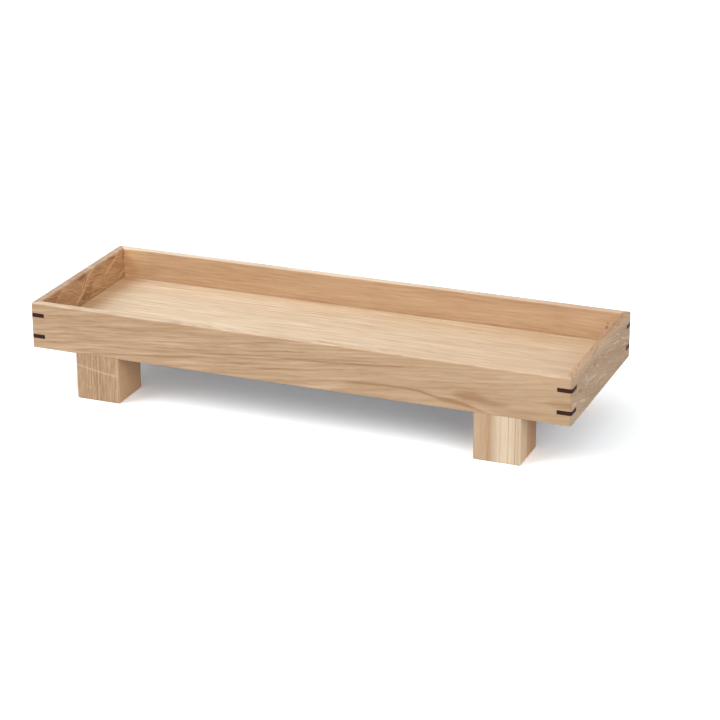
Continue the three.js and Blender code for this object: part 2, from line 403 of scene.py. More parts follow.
@dataclass
class Cut:
    """How a piece was sawn from its log, the figure that this gave it, and light and shade painted on
    it.

    Lengths are millimetres along, across and through the piece. A rise makes the wood paler, or
    darker where it is below 0.
    """

    # The directions along, across and through the piece, the middle in metres of the piece or of one of
    # its faces, which they are counted from, and the place of the pith across and through
    axes: str
    middle: tuple
    pith: tuple
    # Thickness of a year's growth, and how far the pith leans across and through by the millimetre
    year: float
    lean: tuple = (0.0, 0.0)
    # Sets the noise of one piece apart from another's
    seed: float = 0.0
    # Middle tone between the darkest shade and the palest, the darkest, and the fall by the millimetre
    tone: float = MIDDLE_TONE
    darkest: tuple = DARK_WOOD
    fade: float = 0.0
    # Slow and quick wavering of the grain, and the size of the slow one along and across
    waver: tuple = (2.0, 0.8)
    waver_size: tuple = (95.0, 26.0)
    # Strength of the year lines, clouds, fibres and streaks, and the size of the streaks
    lines: float = 0.2
    cloud: float = 0.3
    fibres: float = 0.26
    streaks: float = 0.5
    streak_size: tuple = (42.0, 1.5)
    # Where lines and streaks start to calm, where they are calmest, and the share lost there
    calm: tuple = ()
    # Strength of the rays' flecks, their slope in degrees and their size
    flecks: float = 0.0
    fleck_tilt: float = 0.0
    fleck_size: tuple = ()
    # Steps of tone through the piece: where one starts and ends, and its rise
    heart: tuple = ()
    # Bands along the piece: place across, half width and rise
    bands: tuple = ()
    # Oval spots: place along and across, half length, half height and rise
    spots: tuple = ()
    # Veins along and across the piece: the points that one runs through, half width and rise
    veins: tuple = ()
    cross_veins: tuple = ()
    # Painted light and shade at one end: where it starts, where it is full, and the tint
    painted_end_shading: tuple = ()
    # How much of its own colour a rim has at two places along, that colour, and how plain it is. On a
    # leg the rim is its right side, painted paler as painted light
    rim: tuple = ()
    rim_and_lit_side_wood: tuple = ()
    rim_plain: float = 0.0
    # Dark veins on a rim, and a painted shade line along its edge: points along and through the piece,
    # half width and strength
    rim_veins_and_shade: tuple = ()


def vein(place, points, half_width):
    """A soft line on a board's face through points along and across it, fading at both ends."""
    along, across, wander = place
    middle = points[0][1]
    for (start, low), (end, high) in zip(points, points[1:]):
        middle = middle + along.ramp(start, end) * (high - low)
    first = points[0][0]
    last = points[-1][0]
    fading = (last - first) * VEIN_FADE
    shown = along.ease(first, first + fading) * (1 - along.ease(last - fading, last))
    return (across - middle + wander).bump(0.0, half_width) * shown


def figured(tone, cut, board, wander):
    """A tone of wood with the heart, bands, spots and veins that the cut names."""
    along, across, deep = board
    for start, end, rise in cut.heart:
        tone = tone + deep.ease(start, end) * rise
    for band_across, half_width, rise in cut.bands:
        tone = tone + (across + wander * BAND_SWAY).bump(band_across, half_width) * rise
    for spot_along, spot_across, half_length, half_height, rise in cut.spots:
        far_along = (along - spot_along) / half_length
        far_across = (across - spot_across + wander * SPOT_SWAY) / half_height
        tone = tone + (1 - (far_along**2 + far_across**2).ease(0.0, 1.0)) * rise
    for points, half_width, rise in cut.veins:
        tone = tone + vein((along, across, wander * VEIN_SWAY), points, half_width) * rise
    for points, half_width, rise in cut.cross_veins:
        tone = tone + vein((across, along, wander * VEIN_SWAY), points, half_width) * rise
    return tone


def edged(wood, base, cut, board, wander):
    """The wood with painted light and shade at one end, its rim in a colour of its own, and a leg's
    right side painted paler as painted light, where the cut says so.
    """
    along, across, deep = board
    face = wood
    if cut.painted_end_shading:
        gone, full, tint = cut.painted_end_shading
        face = along.ramp(gone, full).mix(wood, wood.tinted(tint))
    if cut.rim:
        (start, first), (end, last) = cut.rim
        # On a leg the rim is its right side, and its colour there is painted light
        rim_and_lit_side_mask = across.ease(RIM_START, RIM_END) * along.ramp(start, end).over(first, last - first)
        rim = wood.tinted([edge / middle for edge, middle in zip(cut.rim_and_lit_side_wood, base)])
        if cut.rim_plain:
            rim = (rim_and_lit_side_mask * cut.rim_plain).mix(rim, (*cut.rim_and_lit_side_wood, 1.0))
        for points, half_width, strength in cut.rim_veins_and_shade:
            dark = vein((along, deep, wander * RIM_VEIN_AND_SHADE_SWAY), points, half_width) * strength
            rim = dark.mix(rim, rim.tinted(RIM_VEIN_AND_SHADE))
        face = rim_and_lit_side_mask.mix(face, rim)
    return face


def oak(name, base, cut):
    """Oak with growth rings, pores, fibres and rays, sawn as the cut says."""
    material, wire = new_material(name)
    board = board_axes(wire, cut.axes, cut.middle)
    along, across, deep = board
    height_in_trunk = along + cut.seed

    # The grain leans with the pith and wavers along the trunk
    trunk = (height_in_trunk, across, deep)
    run, breadth = cut.waver_size
    slow = wire.sway(trunk, (run, breadth), detail=1.0)
    quick = wire.sway(trunk, (run / QUICKER[0], breadth / QUICKER[1]), roughness=0.6)
    wander = slow * cut.waver[0] + quick * cut.waver[1]
    from_pith_across = across - cut.pith[0] - along * cut.lean[0] + wander
    from_pith_deep = deep - cut.pith[1] - along * cut.lean[1]
    grain = (height_in_trunk, from_pith_across, from_pith_deep)

    # A year's growth starts with dark open wood and ends with pale dense wood
    years = (from_pith_across**2 + from_pith_deep**2) ** 0.5 / cut.year
    season = wire.math("FRACT", years)
    vigour = wire.node("TexWhiteNoise", {"noise_dimensions": "1D"}, {"W": wire.math("FLOOR", years)})
    early = season.bump(*OPEN_WOOD)
    late = season.bump(*DENSE_WOOD)

    # Streaks, clouds, fibres and pores run along the grain
    streak = wire.sway(grain, cut.streak_size, detail=3.0, roughness=0.65)
    cloud = wire.sway(grain, CLOUD_SIZE)
    fibre = wire.sway(grain, FIBRE_SIZE)
    pore = wire.noise(grain, PORE_SIZE, detail=1.0).ease(*PORE_LEVELS) * early.over(*PORE_STRENGTH)
    lined = wire.noise(grain, STRETCH_SIZE).ease(*STRETCH_LEVELS)
    strength = vigour.over(*YEAR_STRENGTH) * lined.over(*STRETCH_STRENGTH)
    line = early * strength
    if cut.calm:
        start, end, share = cut.calm
        kept = 1 - along.ease(start, end) * share
        streak = streak * kept
        strength = strength * kept
        line = line * kept

    tone = cut.tone + streak * cut.streaks + cloud * cut.cloud + fibre * cut.fibres
    tone = tone - line * cut.lines + late * strength * (DENSE_PALENESS * cut.lines)
    tone = tone - pore * PORE_DARKNESS - along * cut.fade
    tone = figured(tone, cut, board, wander)
    wood = tone.mix(shades(base, cut.darkest), shades(base, PALE_WOOD))
    roughness = OAK_ROUGHNESS + pore * PORE_ROUGHNESS + line * LINE_ROUGHNESS
    height = fibre * FIBRE_HEIGHT - pore * PORE_DEPTH - line * LINE_DEPTH

    # Rays show as pale flecks where the face runs from pith to bark
    if cut.flecks:
        tilt = math.radians(cut.fleck_tilt)
        ran = along * math.cos(tilt) + across * math.sin(tilt) + cut.seed
        rose = across * math.cos(tilt) - along * math.sin(tilt) + slow * RAY_SWAY
        rays = wire.noise((ran, rose, deep), (*cut.fleck_size, RAY_DEPTH), detail=0.0)
        fleck = rays.ease(*RAY_LEVELS) * cut.flecks
        wood = fleck.mix(wood, shades(base, PALE_RAY))
        roughness = roughness - fleck * RAY_GLOSS
        height = height + fleck * RAY_HEIGHT

    close_surface(wire, edged(wood, base, cut, board, wander), roughness, height, SATIN_SHINE)
    return material


# Sizes in millimetres of a plain wood's streaks, clouds and pores, and how much each changes its tone
PLAIN_STREAK_SIZE = (12.0, 0.7)
PLAIN_CLOUD_SIZE = (15.0, 4.0)
PLAIN_PORE_SIZE = (3.0, 0.25)
PLAIN_PORE_LEVELS = (0.6, 0.7)
PLAIN_STREAKS = 0.7
PLAIN_CLOUDS = 0.5
PLAIN_PORES = 0.2

# Shades of a plain wood about its middle colour, its roughness and the depth of its pores
PLAIN_DARK = (0.62, 0.58, 0.55)
PLAIN_PALE = (1.35, 1.38, 1.4)
PLAIN_ROUGHNESS = 0.45
PLAIN_PORE_DEPTH = 0.04


def streaked_wood(name, base, axes, contrast, shine=SATIN_SHINE):
    """A plain close-grained wood with fine streaks along one direction."""
    material, wire = new_material(name)
    place = board_axes(wire, axes, (0, 0, 0))
    streak = wire.sway(place, PLAIN_STREAK_SIZE, detail=3.0, roughness=0.6)
    cloud = wire.sway(place, PLAIN_CLOUD_SIZE)
    pore = wire.noise(place, PLAIN_PORE_SIZE, detail=1.0).ease(*PLAIN_PORE_LEVELS)
    tone = MIDDLE_TONE + (streak * PLAIN_STREAKS + cloud * PLAIN_CLOUDS) * contrast - pore * PLAIN_PORES
    wood = tone.mix(shades(base, PLAIN_DARK), shades(base, PLAIN_PALE))
    roughness = PLAIN_ROUGHNESS + pore * PORE_ROUGHNESS
    height = streak * FIBRE_HEIGHT - pore * PLAIN_PORE_DEPTH
    close_surface(wire, wood, roughness, height, shine)
    return material


def saw(mesh, spot, outward):
    """Saws a mesh through along a plane, drops the outward side and closes the other."""
    geometry = mesh.verts[:] + mesh.edges[:] + mesh.faces[:]
    bmesh.ops.bisect_plane(
        mesh, geom=geometry, dist=MERGE_DISTANCE, plane_co=spot, plane_no=outward, clear_outer=True
    )
    openings = [edge for edge in mesh.edges if edge.is_boundary]
    bmesh.ops.holes_fill(mesh, edges=openings, sides=0)


def push_out(mesh, face, way):
    """Gives a flat face a thickness."""
    grown = bmesh.ops.extrude_face_region(mesh, geom=[face])
    moved = [part for part in grown["geom"] if isinstance(part, bmesh.types.BMVert)]
    bmesh.ops.translate(mesh, verts=moved, vec=way)


def round_off(mesh, parts, radius, segments, affect="EDGES"):
    """Eases edges, or the corners of a flat outline, with an arc."""
    bmesh.ops.bevel(
        mesh,
        geom=parts,
        offset=radius,
        offset_type="OFFSET",
        affect=affect,
        segments=segments,
        profile=0.5,
        material=-1,
        clamp_overlap=True,
    )


def new_object(name, mesh):
    """Closes a bmesh into an object that sits at the origin."""
    bmesh.ops.remove_doubles(mesh, verts=mesh.verts[:], dist=MERGE_DISTANCE)
    bmesh.ops.recalc_face_normals(mesh, faces=mesh.faces[:])
    data = bpy.data.meshes.new(name)
    mesh.to_mesh(data)
    mesh.free()
    made = bpy.data.objects.new(name, data)
    bpy.context.scene.collection.objects.link(made)
    return made


def cut_out(piece, cutter):
    """Cuts one object's shape out of another and keeps the result as its mesh."""
    cut = piece.modifiers.new("cut", "BOOLEAN")
    cut.operation = "DIFFERENCE"
    cut.solver = "EXACT"
    cut.object = cutter
    cut_piece = piece.evaluated_get(bpy.context.evaluated_depsgraph_get())
    before = piece.data
    result = bpy.data.meshes.new_from_object(cut_piece)
    piece.modifiers.clear()
    piece.data = result
    bpy.data.meshes.remove(before)
    result.name = piece.name


def discard(cutter):
    """Takes a cutter out of the scene when its work is done."""
    data = cutter.data
    bpy.data.objects.remove(cutter)
    bpy.data.meshes.remove(data)


def cover(piece, material):
    """Makes a material the only one of a piece."""
    piece.data.materials.clear()
    piece.data.materials.append(material)


def dress(piece, material, node):
    """Shades a finished piece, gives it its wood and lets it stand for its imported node."""
    if not piece.data.polygons:
        raise RuntimeError(f"{piece.name} came out empty")
    cover(piece, material)
    piece.data.shade_smooth()
    piece.data.set_sharp_from_angle(angle=SMOOTH_ANGLE)
    shading = piece.modifiers.new("flat faces", "WEIGHTED_NORMAL")
    shading.mode = "FACE_AREA"
    shading.weight = FLAT_FACE_WEIGHT
    shading.keep_sharp = True
    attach(piece, "root")
    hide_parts(node)


def spline_places():
    """Each spline's node, with the sides of its corner and the corners of its packed box."""
    for corner, sides in CORNERS.items():
        for level in ("lower", "upper"):
            node = f"spline_{corner}_{level}"
            low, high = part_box(node)
            yield node, sides, low, high


def add_wedge(mesh, sides, reach, margin, bottom, thickness, tip_round=0.0):
    """Adds a triangle with a thickness across one corner of the tray, run out past it by a margin."""
    side_x, side_y = sides
    tip = Vector((side_x * (HALF_LENGTH + margin), side_y * (HALF_WIDTH + margin), bottom))
    leg = reach + 2 * margin
    spots = (tip, tip - Vector((side_x * leg, 0, 0)), tip - Vector((0, side_y * leg, 0)))
    verts = [mesh.verts.new(spot) for spot in spots]
    face = mesh.faces.new(verts)
    if tip_round:
        round_off(mesh, [verts[0]], tip_round, TIP_SEGMENTS, "VERTICES")
        face = mesh.faces[:][-1]
    push_out(mesh, face, (0, 0, thickness))


def kerf_cutter(sizes):
    """Wedges that saw the kerfs of the splines, with room for glue, into the corners of the rails."""
    kerfs = bmesh.new()
    for _, sides, low, high in spline_places():
        reach = high.x - low.x + sizes.glue_line * math.sqrt(2)
        bottom = low.z - sizes.glue_line
        thickness = high.z - low.z + 2 * sizes.glue_line
        add_wedge(kerfs, sides, reach, CUT_MARGIN, bottom, thickness)
    return new_object("kerf_cutter", kerfs)


def rail_blank(sizes, run):
    """A grooved moulding along X with mitred ends, its outer face at y = 0 and its foot at z = 0."""
    wall = sizes.rail_thickness
    height = RAIL_HIGH.z - RAIL_LOW.z
    half = run / 2
    groove_floor = wall - sizes.groove_depth
    groove_low = sizes.groove_lift
    groove_top = groove_low + sizes.groove_height
    outline = (
        (0, 0),
        (wall, 0),
        (wall, groove_low),
        (groove_floor, groove_low),
        (groove_floor, groove_top),
        (wall, groove_top),
        (wall, height),
        (0, height),
    )
    rail = bmesh.new()
    section = [rail.verts.new((-half, y, z)) for y, z in outline]
    rail.faces.new(section)
    outer_foot, *_, inner_rim, outer_rim = section
    round_off(rail, [inner_rim, outer_rim], sizes.edge_round, EASE_SEGMENTS, "VERTICES")
    round_off(rail, [outer_foot], sizes.foot_round, EASE_SEGMENTS, "VERTICES")
    rail.faces.ensure_lookup_table()
    push_out(rail, rail.faces[0], (run, 0, 0))
    # Each of the two rails at a mitre gives half of the glue line, which is measured square to the joint
    setback = sizes.glue_line / math.sqrt(2)
    radius = sizes.corner_round
    for end in (-1, 1):
        saw(rail, (end * (half - setback), 0, 0), (end, 1, 0))
        for degrees in CORNER_ANGLES:
            turn = math.radians(degrees)
            outward = Vector((end * math.sin(turn), -math.cos(turn), 0))
            axis = Vector((end * (half - radius), radius, 0))
            saw(rail, axis + outward * radius, outward)
    return rail


def front_rail_cut(colours):
    """Flat-sawn and lively at the left, with a dark figure that turns down by the right leg."""
    turning_down = (
        (30, -7.8), (60, -6), (72, -5.7), (85, -6.6),
        (95, -8.6), (108, -10), (120, -12.2), (130, -15),
    )
    return Cut(
        axes="XZY",
        middle=(0, -HALF_WIDTH, RAIL_MIDDLE),
        pith=(-19.6, 20.0),
        year=1.9,
        lean=(0.095, -0.02),
        waver=(2.2, 0.9),
        lines=0.28,
        streaks=0.92,
        calm=(-90.0, 150.0, 0.55),
        spots=(
            (117.0, -4.8, 14.0, 3.4, -0.45),
            (132.0, -7.2, 13.0, 2.8, -0.3),
            (107.0, -9.6, 14.0, 2.6, -0.4),
            (176.0, -2.0, 15.0, 3.4, -0.4),
            (158.0, 5.0, 30.0, 13.0, 0.12),
        ),
        veins=(
            (((-150, -13.5), (-120, -12), (-90, -9.5), (-60, -6)), 1.4, -0.3),
            (((-178, 1), (-150, 3), (-130, 5.5), (-100, 8), (-60, 12)), 0.8, -0.3),
            (((-140, -4), (-110, -1), (-85, 0.5), (-60, 2)), 0.9, 0.3),
            (((-62, -3), (-40, -1), (-20, 1.4), (0, 2.3), (20, 3), (40, 4.3), (66, 6.4)), 1.0, -0.4),
            (((34, 3.8), (60, 6), (78, 7.8)), 1.0, -0.5),
            (turning_down, 1.2, -0.6),
            (((98, -6.8), (110, -8.2), (120, -10.2), (128, -12.4), (136, -15.5)), 0.8, 0.25),
            (((156, -3), (166, -2.2), (182, -1)), 0.8, -0.3),
            (((56, 0.6), (85, 2), (108, 3), (125, 5.5), (140, 8), (166, 11)), 0.8, 0.25),
        ),
        rim=((-180, 0.75), (180, 0.15)),
        rim_and_lit_side_wood=colours.rim,
    )


def back_rail_cut(colours, thickness):
    """Flat-sawn and plain, with a pin knot near its right end, and painted light at its left end and by
    its right end, where the end rails shade it.
    """
    return Cut(
        axes="XZY",
        middle=(0, HALF_WIDTH - thickness, RAIL_MIDDLE),
        pith=(60.0, -40.0),
        year=2.1,
        seed=500.0,
        lines=0.12,
        streak_size=(26.0, 1.5),
        spots=(
            (166.0, 4.0, 1.6, 1.8, -0.9),
            (166.5, 7.0, 1.2, 1.0, -0.6),
            # Painted light by the right end, where the right end rail shades the back rail
            (168.0, 2.0, 34.0, 15.0, 0.3),
            (-110.0, 4.0, 60.0, 60.0, -0.1),
        ),
        # Painted light at the left end, which lifts the shade in the corner
        painted_end_shading=(-154.0, -174.0, (1.42, 1.43, 1.32)),
        rim=((30, 0.97), (150, 0.3)),
        rim_and_lit_side_wood=colours.back_rim,
    )


def left_end_cut(colours):
    """Quarter-sawn and brown, with long pale rays that rise across it and dark wood between them."""
    tallest_ray = (
        (-14, -2.4), (-9, -0.4), (-4, 2.1), (-1, 4.6), (1, 7.2),
        (3, 9.6), (6, 11.8), (11, 13.8), (17, 15.5),
    )
    return Cut(
        axes="YZX",
        middle=(-HALF_LENGTH, 0, RAIL_MIDDLE),
        pith=(-95.0, 10.0),
        year=2.0,
        lean=(-0.2, 0.0),
        seed=900.0,
        darkest=(0.58, 0.46, 0.36),
        cloud=0.5,
        streaks=0.7,
        streak_size=(10.0, 1.2),
        flecks=0.45,
        fleck_tilt=-22.0,
        fleck_size=(7.0, 1.2),
        spots=((2.0, -1.5, 10.0, 3.4, -0.35), (-38.0, 11.0, 12.0, 5.0, -0.2)),
        veins=(
            (tallest_ray, 1.6, 1.15),
            (((-4.6, 5.4), (-1, 8.6), (1, 11)), 1.0, 0.6),
            (((27, 5.2), (32, 6.2), (37, 8.2), (43, 10.8), (47, 13.6), (52, 17)), 1.7, 1.0),
            (((-41, 7), (-34, 10), (-27, 14)), 1.4, 0.5),
            (((47, -3.2), (52, -1.8), (58, 0.2)), 1.8, 0.9),
            (((8, -1), (25, -3)), 0.8, -0.4),
            (((1, 3.6), (8, 5.4), (13, 6.0)), 1.0, -0.8),
            (((-1, 1.8), (6, 3.0), (12, 3.6)), 1.0, -0.8),
            (((-3, 0.0), (4, 1.2), (11, 1.6)), 1.0, -0.8),
            (((-7, -2.6), (2, -1.4), (10, -1.2)), 0.7, -0.5),
            (((-1.4, 5.6), (0.4, 8.4), (2.6, 11.6)), 1.3, -0.9),
            (((-7, 11.6), (-1, 14), (3, 15)), 2.0, -0.5),
            (((29, 13.8), (37, 13.4), (46, 12.4)), 1.1, -1.0),
            (((38, 6.8), (46, 9.4)), 0.7, -0.4),
            (((12, 8.4), (24, 7.4)), 0.6, -0.35),
            (((14, 11.8), (27, 10.4)), 0.6, -0.35),
        ),
        rim=((-62, 0.95), (62, 0.95)),
        rim_and_lit_side_wood=colours.left_rim,
        rim_plain=0.45,
        # The rim vein here is a painted shade line along the rim's inner edge
        rim_veins_and_shade=((((-85, 5.7), (85, 5.7)), 1.9, 0.35),),
    )


def right_end_cut(colours):
    """Quarter-sawn and calm, with short pale rays on its face and dark veins on its rim."""
    return Cut(
        axes="YZX",
        middle=(HALF_LENGTH, 0, RAIL_MIDDLE),
        pith=(-110.0, -8.0),
        year=1.9,
        lean=(-0.25, 0.0),
        seed=1300.0,
        tone=0.4,
        fade=0.0016,
        lines=0.15,
        cloud=0.4,
        streaks=0.28,
        streak_size=(14.0, 1.6),
        flecks=0.5,
        fleck_tilt=-18.0,
        fleck_size=(8.0, 1.0),
        bands=((13.0, 4.0, 0.2),),
        veins=(
            (((-35, 7.6), (-32.5, 4.6), (-29.5, 0.2)), 2.2, 1.3),
            (((-30, 2.3), (-23, 1.5), (-13, -0.2)), 1.0, 1.3),
            (((-30, 0.8), (-22, -0.2), (-14, -1.6)), 0.7, -0.4),
            (((-47, -4.6), (-40, -6.6), (-33, -9.0)), 1.5, 1.2),
            (((-60, -2.6), (-52, -3.4)), 1.4, 0.8),
            (((-14, 6.4), (-7, 3.8)), 0.9, 1.3),
            (((-14, -6.2), (-5, -6.0), (1, -6.8), (9, -6.6)), 0.8, 1.3),
            (((-12, -7.6), (-2, -7.8), (6, -8.2)), 0.6, -0.5),
            (((-8, -4.4), (0, -5.0)), 0.6, 0.8),
            (((22, 6.8), (30, 5.6), (37, 4.4)), 0.9, 1.3),
            (((12, 6.4), (20, 5.0)), 0.7, 0.7),
            (((30, 10.2), (38, 8.2)), 0.8, 1.2),
            (((40, 5.0), (47, 2.3), (52, 0.5), (59, -0.8)), 0.9, 1.3),
            (((44, -1.4), (56, -4.2)), 0.7, 0.7),
            (((-18, 8.2), (-12, 6.2)), 0.9, -0.8),
            (((-49, 2.2), (-42, 0.4)), 1.2, -0.8),
        ),
        rim=((-31, 0.66), (31, 0.94)),
        rim_and_lit_side_wood=colours.right_rim,
        rim_plain=0.3,
        rim_veins_and_shade=(
            (((-64, 0.4), (-57, -2), (-52, -4.2)), 0.7, 1.0),
            (((-54, -0.4), (-49, -2), (-44, -3.6)), 0.7, 0.9),
            (((-43, -2.6), (-39, -3.6), (-35, -4.4)), 0.8, 0.9),
            (((-24, 0), (-14, -1), (-2, -2.4)), 0.7, 0.9),
            (((-17, -2.8), (-11, -3.8), (-6, -4.6)), 0.7, 0.8),
            (((4, -4.4), (20, -3), (30, -3), (46, -4)), 1.0, 0.6),
            (((32, -0.8), (40, -1.8), (48, -3.2)), 0.6, 0.6),
            (((46, -2), (51, -3), (57, -4)), 0.7, 0.8),
        ),
    )


class TRAY_OT_rails(bpy.types.Operator):
    """Make the four mitred oak rails, with their groove and the kerfs of the corner splines"""

    bl_idname = "tray.rails"
    bl_label = "Rails"

    def execute(self, context):
        sizes = context.scene.tray_sizes
        colours = context.scene.tray_colours
        woods = {
            "front_rail": (colours.front_rail, front_rail_cut(colours)),
            "back_rail": (colours.back_rail, back_rail_cut(colours, sizes.rail_thickness)),
            "left_end_rail": (colours.left_end, left_end_cut(colours)),
            "right_end_rail": (colours.right_end, right_end_cut(colours)),
        }
        kerfs = kerf_cutter(sizes)
        for node, run, turn, face, slot in RAIL_PLAN:
            rail = rail_blank(sizes, run)
            put = Matrix.Translation((*face, RAIL_LOW.z)) @ Matrix.Rotation(turn, 4, "Z")
            bmesh.ops.transform(rail, matrix=put, verts=rail.verts[:])
            piece = new_object("oak_" + node, rail)
            cut_out(piece, kerfs)
            dress(piece, oak(node + " oak", *woods[node]), node)
        discard(kerfs)
        return {"FINISHED"}


class TRAY_OT_splines(bpy.types.Operator):
    """Make the eight dark splines that key the mitres"""

    bl_idname = "tray.splines"
    bl_label = "Corner splines"

    def execute(self, context):
        sizes = context.scene.tray_sizes
        base = context.scene.tray_colours.spline
        wood = streaked_wood("dark spline wood", base, "XYZ", contrast=0.8, shine=0.25)
        for node, sides, low, high in spline_places():
            spline = bmesh.new()
            add_wedge(spline, sides, high.x - low.x, 0.0, low.z, high.z - low.z, sizes.corner_round)
            dress(new_object("dark_" + node, spline), wood, node)
        return {"FINISHED"}


def dowel_hole_cutter(sizes):
    """Cylinders that bore the dowel holes into the legs and the lower veneer."""
    holes = bmesh.new()
    for node in DOWELS:
        low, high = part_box(node)
        radius = (high.x - low.x) / 2 + sizes.glue_line
        bottom = low.z - sizes.dowel_play
        middle = Vector(((low.x + high.x) / 2, (low.y + high.y) / 2, (bottom + high.z) / 2))
        bmesh.ops.create_cone(
            holes,
            cap_ends=True,
            segments=HOLE_SIDES,
            radius1=radius,
            radius2=radius,
            depth=high.z - bottom,
            matrix=Matrix.Translation(middle),
        )
    return new_object("dowel_hole_cutter", holes)


def block(low, high):
    """A block between two corners."""
    mesh = bmesh.new()
    put = Matrix.Translation((low + high) / 2) @ Matrix.Diagonal((*(high - low), 1.0))
    bmesh.ops.create_cube(mesh, size=1.0, matrix=put)
    return mesh


def veneer_cut(underside):
    """Straight-grained, calmer and a little darker towards the right end."""
    return Cut(
        axes="XYZ",
        middle=(0, 0, underside),
        pith=(-160.0, -40.0),
        year=2.6,
        lean=(0.02, 0.0),
        seed=1700.0,
        fade=0.001,
        waver=(1.5, 0.4),
        waver_size=(160.0, 30.0),
        lines=0.15,
        cloud=0.14,
        fibres=0.34,
        streaks=0.78,
        streak_size=(38.0, 1.6),
        calm=(0.0, 170.0, 0.35),
    )


def upper_veneer_cut(underside):
    """The same, with painted shade, browner, at the left end and along the back edge, where the left end
    rail and the back rail shade it.
    """
    return replace(
        veneer_cut(underside),
        # Painted shade along the back edge by the back rail, and painted shade at the left end by the
        # left end rail
        bands=((57.0, 8.0, -0.14),),
        painted_end_shading=(-155.0, -167.0, (0.89, 0.77, 0.65)),
    )


class TRAY_OT_board(bpy.types.Operator):
    """Make the two oak veneers of the board and give its core a wood of its own"""

    bl_idname = "tray.board"
    bl_label = "Board"

    def execute(self, context):
        sizes = context.scene.tray_sizes
        colours = context.scene.tray_colours
        holes = dowel_hole_cutter(sizes)
        # How each veneer was cut, and whether the dowels run through it
        veneers = {
            "base_top_veneer": (upper_veneer_cut, False),
            "base_bottom_veneer": (veneer_cut, True),
        }
        for node, (sawn, bored) in veneers.items():
            low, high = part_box(node)
            sheet = block(low, high)
            round_off(sheet, sheet.edges[:], sizes.veneer_arris, ARRIS_SEGMENTS)
            piece = new_object("oak_" + node, sheet)
            if bored:
                cut_out(piece, holes)
            dress(piece, oak(node + " oak", colours.veneer, sawn(low.z)), node)
        discard(holes)
        core_wood = streaked_wood("board core wood", colours.core, "XYZ", contrast=0.5)
        cover(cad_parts["base_core"], core_wood)
        return {"FINISHED"}


def brown_leg_cut(colours, middle, seed):
    """Brown and fibrous, with a pale ray across its face, a painted highlight along the face's right
    edge, and a plain right side painted paler as painted light where it lies in shade.
    """
    return Cut(
        axes="ZXY",
        middle=middle,
        pith=(-70.0, 12.0),
        year=1.9,
        seed=seed,
        waver=(0.6, 0.3),
        lines=0.3,
        fibres=0.6,
        streaks=0.9,
        streak_size=(9.0, 0.9),
        bands=(
            # The first band is a painted highlight along the front face's right edge
            (13.8, 1.2, 0.3), (-0.7, 0.5, -0.6), (0.6, 0.6, 0.35),
            (2.0, 0.5, -0.5), (6.3, 0.5, -0.3),
        ),
        cross_veins=(
            (((-17, 8.6), (-10, 7), (-5, 5.8), (0, 5), (6, 4.3), (12, 3.6), (17, 3)), 1.2, 0.6),
            (((-12, -3.5), (-7, -6.5), (-2, -8)), 0.9, 0.3),
        ),
        # The right side is a paler copy of the oak: painted light where it lies in shade
        rim=((-15, 1.0), (15, 1.0)),
        rim_and_lit_side_wood=colours.lit_leg_side,
        rim_plain=0.8,
    )


def pale_leg_cut(colours, middle, seed):
    """Pale and straight-grained, with dark stripes at the right of its face and a darker heart."""
    return Cut(
        axes="ZXY",
        middle=middle,
        pith=(60.0, -25.0),
        year=3.6,
        seed=seed,
        waver=(0.4, 0.2),
        lines=0.06,
        cloud=0.1,
        fibres=0.3,
        streaks=0.3,
        streak_size=(60.0, 1.0),
        heart=((-4.5, -2.0, -0.55), (-2.0, 9.0, -0.3)),
        bands=(
            (-11.0, 11.0, -0.32), (-5.0, 3.4, -0.34), (0.8, 0.5, 0.3),
            (6.5, 10.0, 0.42), (7.2, 0.5, -0.7), (9.8, 0.4, -0.25),
            (11.6, 0.5, -0.7), (13.4, 0.4, -0.25), (15.2, 1.2, 0.35),
        ),
        # The right side is a paler copy of the oak: painted light where it lies in shade
        rim=((-15, 1.0), (15, 1.0)),
        rim_and_lit_side_wood=colours.lit_pale_side,
    )


class TRAY_OT_legs(bpy.types.Operator):
    """Make the four block legs, bored for their dowels, and give the dowels their wood"""

    bl_idname = "tray.legs"
    bl_label = "Legs and dowels"

    def execute(self, context):
        sizes = context.scene.tray_sizes
        colours = context.scene.tray_colours
        holes = dowel_hole_cutter(sizes)
        # Each leg's colour, how it was cut and its seed
        woods = {
            "front_left": (colours.brown_leg, brown_leg_cut, 0.0),
            "front_right": (colours.pale_leg, pale_leg_cut, 200.0),
            "back_left": (colours.pale_leg, pale_leg_cut, 400.0),
            "back_right": (colours.brown_leg, brown_leg_cut, 600.0),
        }
        for corner, (base, sawn, seed) in woods.items():
            node = "leg_" + corner
            low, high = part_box(node)
            leg = block(low, high)
            top = high.z - CUT_MARGIN
            eased = [edge for edge in leg.edges if min(spot.co.z for spot in edge.verts) < top]
            round_off(leg, eased, sizes.leg_round, EASE_SEGMENTS)
            piece = new_object("oak_" + node, leg)
            cut_out(piece, holes)
            cut = sawn(colours, tuple((low + high) / 2), seed)
            dress(piece, oak(node + " oak", base, cut), node)
        discard(holes)
        beech = streaked_wood("beech dowel wood", colours.dowel, "ZXY", contrast=0.3)
        for node in DOWELS:
            cover(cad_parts[node], beech)
        return {"FINISHED"}


# Where the two lamps stand, as degrees above the horizon and left of the front, and how wide they look
KEY_PLACE = (40.0, 50.0)
FILL_PLACE = (24.0, -55.0)
LAMP_SIZE = math.radians(40)

# The camera sees the floor's white a little cool, and the part that needs no light cooler still,
# against the warm light that the oak throws on it
COOL_WHITE = (0.975, 1.0, 1.0)
COOL_GLOW = (0.75, 1.0, 1.38, 1.0)

# The floor lies a hair under the feet and is clear that close, so that soles aren't black from below
FLOOR_GAP = 0.05 * MM
CLEAR_WITHIN = 0.3 * MM

# The camera's sensor in millimetres, and the nearest and farthest that it sees in metres
SENSOR_WIDTH = 36.0
NEAREST = 0.01
FARTHEST = 100.0


